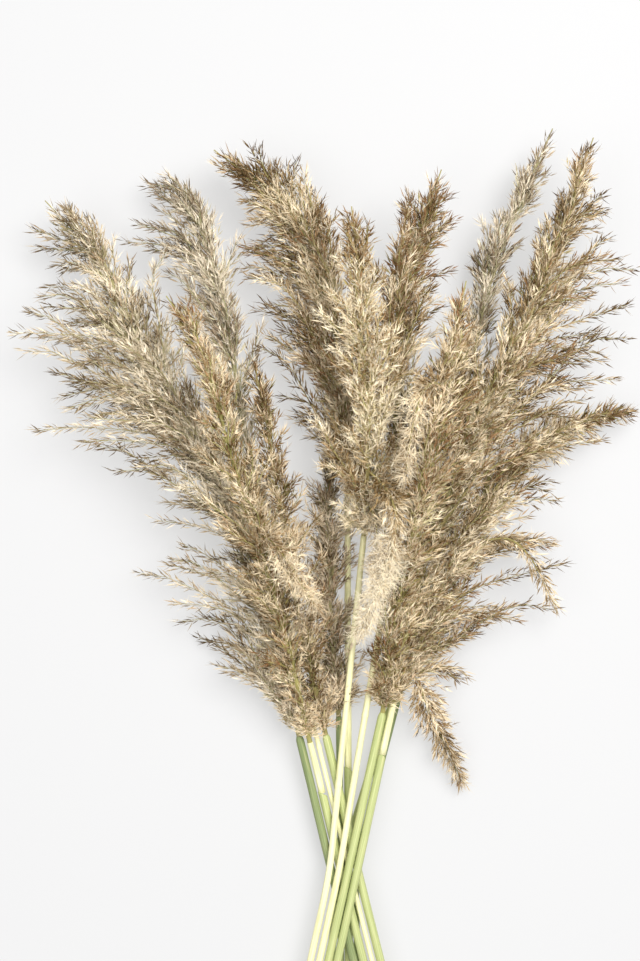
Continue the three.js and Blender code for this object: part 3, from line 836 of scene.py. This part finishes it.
# How a spray grows: how close its branchlets stand, how far they lean out, how long they are at a run's tip
# and at its foot, how thick they are, how wide the husks are, how many hairs each husk has and how long
# those are, how wildly all this points, and the share of green husks near a run's foot.
Growth = namedtuple("Growth", "step splay short long stem husk hair fluff wild green")
LOOSE = Growth(3.35, 0.64, 5.0, 18.0, 0.36, 1.0, 1.4, 1.0, 0.2, 0.35)
CURLED = Growth(1.1, 1.3, 7.0, 20.0, 0.25, 0.8, 4.2, 1.2, 0.5, 0.0)
FLUFFY = Growth(0.8, 1.3, 8.0, 16.0, 0.2, 0.6, 5.5, 1.5, 0.6, 0.0)
HANGING = Growth(0.7, 1.2, 5.0, 21.0, 0.3, 1.1, 1.8, 1.0, 0.2, 0.0)
PALE = Growth(1.2, 1.1, 5.0, 10.0, 0.2, 0.6, 4.5, 1.4, 0.5, 0.0)
SLENDER = Growth(1.2, 0.9, 5.0, 13.0, 0.3, 1.0, 1.4, 1.0, 0.2, 0.0)
BRANCHLETS_LEAST, FIRST_BRANCHLET, BRANCHLET_JITTER, BRANCHLET_CURVE = 4, 0.05, 0.9, 0.9
TURN_JITTER = (-0.5, 0.5)
SPLAY_LOST, SPLAY_VARIES = 0.55, (0.7, 1.3)
LONG_BASE, LONG_SHARE, LONG_VARIES = 4, 0.4, (0.5, 1.4)
Branchlets = namedtuple("Branchlets", "run share root heading long")


def grown_branchlets(runs, random, growth):
    """Branchlets along each run, turned by the golden angle: the run that each is on, its share of that
    run's length, its root, heading and length. They lean out less and are shorter towards a run's tip."""
    rows = runs.shape[1]
    length = np.linalg.norm(np.diff(runs, axis=1), axis=2).sum(1)
    number_each = np.maximum(BRANCHLETS_LEAST, (length / growth.step).astype(int))
    run, order = counted(number_each)
    share = (order + random.uniform(0, BRANCHLET_JITTER, len(order))) / number_each[run]
    share = FIRST_BRANCHLET + (1 - FIRST_BRANCHLET) * share**BRANCHLET_CURVE
    # The last place is a thousandth before the last row, so that a next row always follows it.
    spot = np.clip(share, 0, 1) * (rows - 1.001)
    low = spot.astype(int)
    step = runs[run, low + 1] - runs[run, low]
    root = runs[run, low] + step * (spot - low)[:, None]
    across, upward = frames_along(unit(step))
    angle = (order * GOLDEN + run + random.uniform(*TURN_JITTER, len(order)))[:, None]
    lean = growth.splay * (1 - SPLAY_LOST * share) * random.uniform(*SPLAY_VARIES, len(order))
    heading = unit(unit(step) + turned(across, upward, angle) * lean[:, None])
    longest = np.minimum(growth.long, LONG_BASE + LONG_SHARE * length[run])
    long = growth.short + (longest - growth.short) * (1 - share)
    long *= random.uniform(*LONG_VARIES, len(order))
    heading, long = kept_inside(root, heading, long)
    return Branchlets(run, share, root, heading, long)


SPIKELET_STEP, SPIKELETS_LEAST, LAST_SPIKELET = 2.8, 2, 0.95
SPIKELET_LENGTH, LENGTH_VARIES = 9.3, (0.7, 1.25)
SPIKELET_WIDTH, WIDTH_VARIES, WIDTH_AT_FOOT, WIDTH_LOST = 1.08, (0.7, 1.2), 1.6, 0.7
SPIKELET_TURN = 1.3
LEAN_LEAST, LEAN_MOST, LEAN_WILD, END_LEAN = 0.1, 0.3, 2.5, 0.3
TUFT_VARIES, HUSK_VARIES = 0.16, 0.22
SHADE_LEAST, SHADE_MOST = 0.02, 0.97
# Painted light: spikelets are lighter the more their branchlet points up, towards the lamps, and darker the
# more it points down.
PAINTED_UPWARD_LIGHT = 0.15
# Painted shade in each tuft: its spikelets are darker towards their branchlet's foot and lighter towards
# its end, unchanged at six tenths of the way along.
TUFT_PAINTED_SHADE, TUFT_PAINTED_SHADE_FROM = 0.16, 0.6
SHADE_PATCH, SHADE_PATCH_SIZE, SHADE_PATCH_SEED = 0.27, 50.0, 7
WARM_PATCH, WARM_PATCH_SIZE, WARM_PATCH_SEED = 0.25, 80.0, 11
GREEN_UNTIL = 0.4
Spikelets = namedtuple("Spikelets", "seat heading long shade dusk")


def grown_spikelets(branchlets, random, tone, dusk, warmth, growth):
    """Spikelets along each branchlet, and their husks. The shade of each is its run's, varied by tuft and
    by husk, with painted light where its branchlet looks up and painted shade towards its branchlet's
    foot, and darker by its dusk, which is 0 half way along its run and on inner runs is painted shade
    towards the rachis. A husk leans out round its branchlet, from a millimetre before its seat, and is
    wider near its run's foot."""
    seats = np.maximum(SPIKELETS_LEAST, (branchlets.long / SPIKELET_STEP + 0.5).astype(int))
    owner, order = counted(seats)
    root, way = branchlets.root[owner], branchlets.heading[owner]
    share, run = branchlets.share[owner], branchlets.run[owner]
    out = (order + 1) / seats[owner]
    seat = root + way * (branchlets.long[owner] * out * LAST_SPIKELET)[:, None]
    around = order * GOLDEN + owner * SPIKELET_TURN
    across, upward = frames_along(way)
    lean = random.uniform(LEAN_LEAST, LEAN_MOST + LEAN_WILD * growth.wild, len(order))
    lean = lean * np.where(order == seats[owner] - 1, END_LEAN, 1)
    heading = way + turned(across, upward, around[:, None]) * lean[:, None]
    heading = unit(heading + random.normal(0, growth.wild, (len(order), 3)))
    long = SPIKELET_LENGTH * random.uniform(*LENGTH_VARIES, len(order))
    heading, long = kept_inside(seat, heading, long)

    tuft = random.normal(0, TUFT_VARIES, len(seats))
    # Painted light: lighter where the branchlet points up, darker where it points down.
    shade = tone[branchlets.run] + tuft + PAINTED_UPWARD_LIGHT * branchlets.heading[:, 2]
    # late darkens the outline's branch tips, and on inner branches it is painted shade towards the rachis.
    late = dusk[run] * (share - 0.5)
    # Painted shade towards each branchlet's foot, with random patches of tone and each husk's own.
    shade = shade[owner] + (TUFT_PAINTED_SHADE * (out - TUFT_PAINTED_SHADE_FROM) - late
                            + SHADE_PATCH * patches(seat, SHADE_PATCH_SIZE, SHADE_PATCH_SEED))
    shade = np.clip(shade + random.normal(0, HUSK_VARIES, len(order)), SHADE_LEAST, SHADE_MOST)
    chance = random.uniform(size=len(order))
    reddish = chance < warmth[run] + WARM_PATCH * patches(seat, WARM_PATCH_SIZE, WARM_PATCH_SEED)
    green = (share < GREEN_UNTIL) & (chance > 1 - growth.green)
    row = np.where(green, GREEN_ROW, np.where(reddish, WARM_ROW, HUSK_ROW))
    width = SPIKELET_WIDTH * growth.husk * random.uniform(*WIDTH_VARIES, len(order))
    width = width * (WIDTH_AT_FOOT - WIDTH_LOST * share)
    shape = husks(seat - heading, heading, long, width, shade, row, around)
    return Spikelets(seat, heading, long, shade, late), shape


HAIR_LENGTH, HAIR_WIDTH, HAIR_VARIES = 8.0, 0.4, (0.6, 1.25)
HAIRY_LEAST, HAIRY_MOST = 0.2, 1.4
HAIR_SPREAD, HAIR_FROM = 0.3, 0.25


def grown_hairs(spikelets, random, growth):
    """Hairs on each spikelet, fewer on dusky ones. They rise from a quarter of its length, and spread."""
    hairy = np.clip(1 - 2 * spikelets.dusk, HAIRY_LEAST, HAIRY_MOST)
    holder, _ = counted(random.poisson(growth.hair * hairy))
    heading = spikelets.heading[holder]
    spread = unit(heading + random.normal(0, HAIR_SPREAD + growth.wild, (len(holder), 3)))
    foot = spikelets.seat[holder] + heading * (spikelets.long[holder] * HAIR_FROM)[:, None]
    long = HAIR_LENGTH * growth.fluff * random.uniform(*HAIR_VARIES, len(holder))
    spread, long = kept_inside(foot, spread, long)
    return needles(foot, spread, long, HAIR_WIDTH, spikelets.shade[holder], HAIR_ROW)


STALK_SHADES = (0.1, 0.5)


def spray(runs, random, tone, dusk, warmth, growth):
    """Branchlets along each run, spikelets along each branchlet, and hairs on each spikelet. tone gives
    each run its shade, and warmth its share of reddish husks. dusk gives how much darker and less hairy
    its tip is. Where dusk is below 0, the run's foot is the darker one instead, which is painted shade near
    the rachis."""
    branchlets = grown_branchlets(runs, random, growth)
    shade = random.uniform(*STALK_SHADES, len(branchlets.root))
    stalks = needles(branchlets.root, branchlets.heading, branchlets.long, growth.stem, shade, STALK_ROW)
    spikelets, husk = grown_spikelets(branchlets, random, tone, dusk, warmth, growth)
    return joined([stalks, husk, grown_hairs(spikelets, random, growth)])


# A plume's habit: hairs for each husk, how wildly they point, the lowest and highest shade of its branches,
# its share of reddish husks, from what share of its height its tip begins, the tip's own shade and reddish
# share, the share of its spread that is reached at its base, and how blunt its tip is.
Habit = namedtuple("Habit", "hair wild low high warmth tip_from tip_shade tip_warmth base blunt")
HABITS = {
    "01": Habit(1.2, 0.18, 0.28, 0.82, 0.05, 0.95, 0.35, 0.2, 0.06, 4.0),
    "02": Habit(1.2, 0.22, 0.12, 0.80, 0.12, 0.94, 0.40, 0.5, 0.1, 3.0),
    "03": Habit(1.0, 0.12, 0.36, 0.92, 0.04, 0.90, 0.40, 0.1, 0.1, 4.0),
    "04": Habit(1.2, 0.26, 0.06, 0.78, 0.12, 0.80, 0.25, 0.3, 0.2, 3.0),
    "05": Habit(1.1, 0.20, 0.30, 0.76, 0.10, 0.90, 0.20, 0.1, 0.4, 4.0),
    "06": Habit(1.1, 0.20, 0.16, 0.70, 0.06, 0.86, 0.16, 0.2, 0.3, 4.0),
    "07": Habit(1.5, 0.30, 0.28, 0.94, 0.05, 0.84, 0.14, 0.6, 0.45, 3.0),
    "08": Habit(1.0, 0.18, 0.10, 0.70, 0.10, 0.72, 0.10, 0.7, 0.3, 5.0),
    "09": Habit(1.2, 0.20, 0.10, 0.78, 0.10, 0.95, 0.40, 0.5, 0.38, 3.0),
    "10": Habit(1.1, 0.18, 0.09, 0.68, 0.09, 0.93, 0.25, 0.2, 0.1, 2.2),
    "11": Habit(1.0, 0.12, 0.22, 0.74, 0.08, 0.88, 0.24, 0.3, 0.1, 2.4),
    "12": Habit(1.1, 0.20, 0.16, 0.79, 0.11, 0.90, 0.25, 0.2, 0.05, 3.0),
}
# How much darker and less hairy each run's spikelets grow towards its tip. The outline's branches darken
# towards their tips. The inner ones, below 0, instead darken towards their foot by the rachis, which is
# painted shade in the plume's core.
DUSK_OUTSIDE, CORE_PAINTED_SHADE = 0.8, -0.5
COLLAR_PALER = 0.4
TOP_FROM = 0.7
RACHIS_SHADE, BRANCH_SHADES = 0.4, (0.1, 0.8)

# Side branches that hang out of their plume: their points, how their spray grows, how pale it is, and from
# what share of the branch's length it begins.
Droop = namedtuple("Droop", "knots growth pale begins")
DROOPING = {
    "02": [Droop([(-67, 252, 88), (-67, 266, 102), (-58, 262, 110), (-45, 245, 110), (-34, 226, 104),
                 (-22, 208, 96)], CURLED, 0.72, 0.3)],
    "07": [Droop([(16, 319, 80), (30, 305, 98), (38, 283, 106), (35, 262, 104), (24, 225, 92),
                 (8, 184, 72)], FLUFFY, 0.8, 0.36),
           Droop([(17, 292, 64), (22, 281, 70), (24, 267, 66), (23, 252, 60), (20, 238, 54)],
                 PALE, 0.5, 0.05)],
    "09": [Droop([(75, 382, 104), (67, 386, 120), (57, 378, 130), (51, 358, 130), (47, 336, 127),
                  (44, 311, 121)], PALE, 0.74, 0.3)],
    "12": [Droop([(46, 150, 24), (58, 147, 28), (66, 126, 26), (77, 102, 20), (88, 79, 14),
                 (98, 56, 9)], HANGING, 0.52, 0.05),
           Droop([(112, 262, 42), (132, 263, 48), (147, 251, 48), (157, 235, 44), (165, 219, 38),
                  (174, 204, 32)], SLENDER, 0.5, 0.05)],
}
DROOP_ENDS, DROOP_OVERLAP = 0.95, 0.05
DROOP_STALK, DROOP_STALK_SHADE = 1.5, 0.5
SHOULDER_SHADE = 0.38


def hanging_branch(droop, random):
    """A branch that hangs out of its plume: its stalk, a sparse shoulder, and the spray at its end."""
    run, _ = smooth_run(droop.knots)
    stalk = at_share(run, np.linspace(0, DROOP_ENDS, 24))[None]
    shoulder = at_share(run, np.linspace(DROOP_OVERLAP, droop.begins + DROOP_OVERLAP, 8))[None]
    end = at_share(run, np.linspace(droop.begins, DROOP_ENDS, 20))[None]
    sparse = SLENDER if droop.growth is SLENDER else HANGING
    none = np.zeros(1)
    return [
        twigs(stalk, DROOP_STALK * BRANCH_BASE, BRANCH_TIP, 6, np.array([DROOP_STALK_SHADE])),
        spray(shoulder, random, np.array([SHOULDER_SHADE]), none, none, sparse),
        spray(end, random, np.array([droop.pale]), none, none, droop.growth),
    ]


def plume(reed, form, habit):
    """The whole plume of a reed as one shape: its rachis, its branches, the sprays along them and along the
    rachis' top, and the branches that hang out."""
    random = np.random.default_rng(int(reed.id))
    seed = int(reed.id) * 100
    curve, length = smooth_run(reed.rachis)
    outside = outline_tips(form, seed, curve, length)
    inside = inner_tips(form, seed, curve, length, habit.base, habit.blunt)
    runs = branch_runs(curve, length, np.vstack([outside, inside]), BRANCH_ROWS)
    rachis = at_share(curve, np.linspace(0, 1, RACHIS_ROWS))[None]
    top = at_share(curve, np.linspace(TOP_FROM, 1 - TIP_ROOM / length, BRANCH_ROWS))[None]
    every = np.concatenate([runs, top])
    tone = random.uniform(habit.low, habit.high, len(every))
    # The collar's branches stand last, but for the rachis' top.
    tone[-1 - COLLAR:-1] += COLLAR_PALER
    at_tip = nearest_share(curve, every[:, -1])[0] > habit.tip_from
    tone = np.where(at_tip, habit.tip_shade, tone)
    warmth = np.where(at_tip, habit.tip_warmth, habit.warmth)
    # Inner branches take painted shade towards the rachis.
    dusk = np.repeat([DUSK_OUTSIDE, CORE_PAINTED_SHADE, DUSK_OUTSIDE], [len(outside), len(inside), 1])
    branch_shades = random.uniform(*BRANCH_SHADES, len(runs))
    shapes = [
        twigs(rachis, RACHIS_BASE, RACHIS_TIP, RACHIS_SIDES, np.array([RACHIS_SHADE])),
        twigs(runs, BRANCH_BASE, BRANCH_TIP, BRANCH_SIDES, branch_shades),
        spray(every, random, tone, dusk, warmth, LOOSE._replace(hair=habit.hair, wild=habit.wild)),
    ]
    for droop in DROOPING.get(reed.id, []):
        shapes += hanging_branch(droop, random)
    return joined(shapes)


# A plume's colours: its husks' from dark to light, its reddish husks', its stalks', which also tint the
# green husks, and its hairs'.
Colours = namedtuple("Colours", "dark middle light warm stalk hair")
PLUME_COLOURS = {
    "bleached": Colours((0.10, 0.066, 0.030), (0.42, 0.326, 0.202), (0.95, 0.85, 0.67),
                        (0.38, 0.24, 0.13), (0.34, 0.33, 0.15), (0.96, 0.88, 0.71)),
    "tan": Colours((0.085, 0.049, 0.018), (0.37, 0.256, 0.130), (0.95, 0.82, 0.60),
                   (0.34, 0.18, 0.085), (0.31, 0.30, 0.11), (0.95, 0.85, 0.65)),
    "brown": Colours((0.07, 0.038, 0.013), (0.30, 0.195, 0.09), (0.88, 0.72, 0.49),
                     (0.28, 0.145, 0.06), (0.28, 0.27, 0.10), (0.88, 0.76, 0.55)),
    "rust": Colours((0.085, 0.048, 0.016), (0.38, 0.257, 0.126), (0.95, 0.81, 0.57),
                    (0.38, 0.19, 0.085), (0.36, 0.36, 0.12), (0.95, 0.84, 0.63)),
    "grey": Colours((0.10, 0.070, 0.038), (0.38, 0.299, 0.20), (0.90, 0.81, 0.65),
                    (0.32, 0.21, 0.12), (0.32, 0.32, 0.16), (0.92, 0.85, 0.70)),
    "dusky": Colours((0.085, 0.053, 0.024), (0.34, 0.25, 0.15), (0.88, 0.75, 0.56),
                     (0.32, 0.19, 0.10), (0.32, 0.31, 0.14), (0.90, 0.80, 0.63)),
    "cream": Colours((0.11, 0.062, 0.020), (0.46, 0.323, 0.157), (0.97, 0.86, 0.63),
                     (0.40, 0.23, 0.11), (0.38, 0.36, 0.14), (0.98, 0.90, 0.72)),
}
ROW_MARGIN = 0.02
WARM_STRENGTH, GREEN_STRENGTH, STALK_BROWN = 0.5, 0.5, 0.6
HAIR_PALE_FROM = 0.8


def floret_group():
    """The colours of a plume's parts. Place is its paint map: u is the shade, from dark to light, and v is
    the part: stalks, then brown, reddish and green husks, each from base to tip, and then hairs."""
    tree = bpy.data.node_groups.new("floret colours", "ShaderNodeTree")
    tree.interface.new_socket("Place", in_out="INPUT", socket_type="NodeSocketVector")
    for name in Colours._fields:
        tree.interface.new_socket(name, in_out="INPUT", socket_type="NodeSocketColor")
    tree.interface.new_socket("Colour", in_out="OUTPUT", socket_type="NodeSocketColor")
    given, result = tree.nodes.new("NodeGroupInput"), tree.nodes.new("NodeGroupOutput")
    tint = Colours(*(given.outputs[name] for name in Colours._fields))
    place = node(tree, "SeparateXYZ", _0=given.outputs["Place"])
    shade, part = place.outputs[0], place.outputs[1]

    def from_row(row):
        """1 where the part is this row's or a later one's, 0 elsewhere."""
        return number(tree, "GREATER_THAN", part, row - ROW_MARGIN)

    husk = mixed(tree, ramp(tree, shade, 0.0, 0.5), tint.dark, tint.middle)
    husk = mixed(tree, ramp(tree, shade, 0.5, 1.0), husk, tint.light)
    warm = mixed(tree, WARM_STRENGTH, husk, tint.warm)
    green = mixed(tree, GREEN_STRENGTH, husk, tint.stalk)
    stalk = mixed(tree, number(tree, "MULTIPLY", shade, STALK_BROWN), tint.stalk, tint.middle)
    hair = mixed(tree, ramp(tree, shade, HAIR_PALE_FROM, 0.0), tint.hair, tint.middle)
    colour = mixed(tree, from_row(HUSK_ROW), stalk, husk)
    colour = mixed(tree, from_row(WARM_ROW), colour, warm)
    colour = mixed(tree, from_row(GREEN_ROW), colour, green)
    colour = mixed(tree, from_row(HAIR_ROW), colour, hair)
    tree.links.new(colour, result.inputs["Colour"])
    return tree


FLORET_COLOURS = floret_group()
PLUME_ROUGHNESS, PLUME_SHINE = 0.8, 0.1


def plume_paint(name, colours):
    """A plume's finish: dry and dull, with the colours of its husks, stalks and hairs."""
    paint, surface = new_paint(name, PLUME_ROUGHNESS, PLUME_SHINE)
    tree = paint.node_tree
    florets = tree.nodes.new("ShaderNodeGroup")
    florets.node_tree = FLORET_COLOURS
    tree.links.new(node(tree, "UVMap", {"uv_map": "Tone"}).outputs[0], florets.inputs["Place"])
    for part, colour in colours._asdict().items():
        florets.inputs[part].default_value = (*colour, 1)
    tree.links.new(florets.outputs["Colour"], surface.inputs["Base Color"])
    return paint


PLUME_PAINTS = {name: plume_paint(f"{name} plume", colours) for name, colours in PLUME_COLOURS.items()}

for reed in REEDS:
    form = FORMS[reed.id]
    shape = plume(reed, form, HABITS[reed.id])
    made = solid_mesh(f"plume_{reed.id}_dressed", shape.points, shape.triangles, shape.places, False)
    made.data.materials.append(PLUME_PAINTS[form.paint])
    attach(made, "root")
    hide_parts(f"plume_{reed.id}")
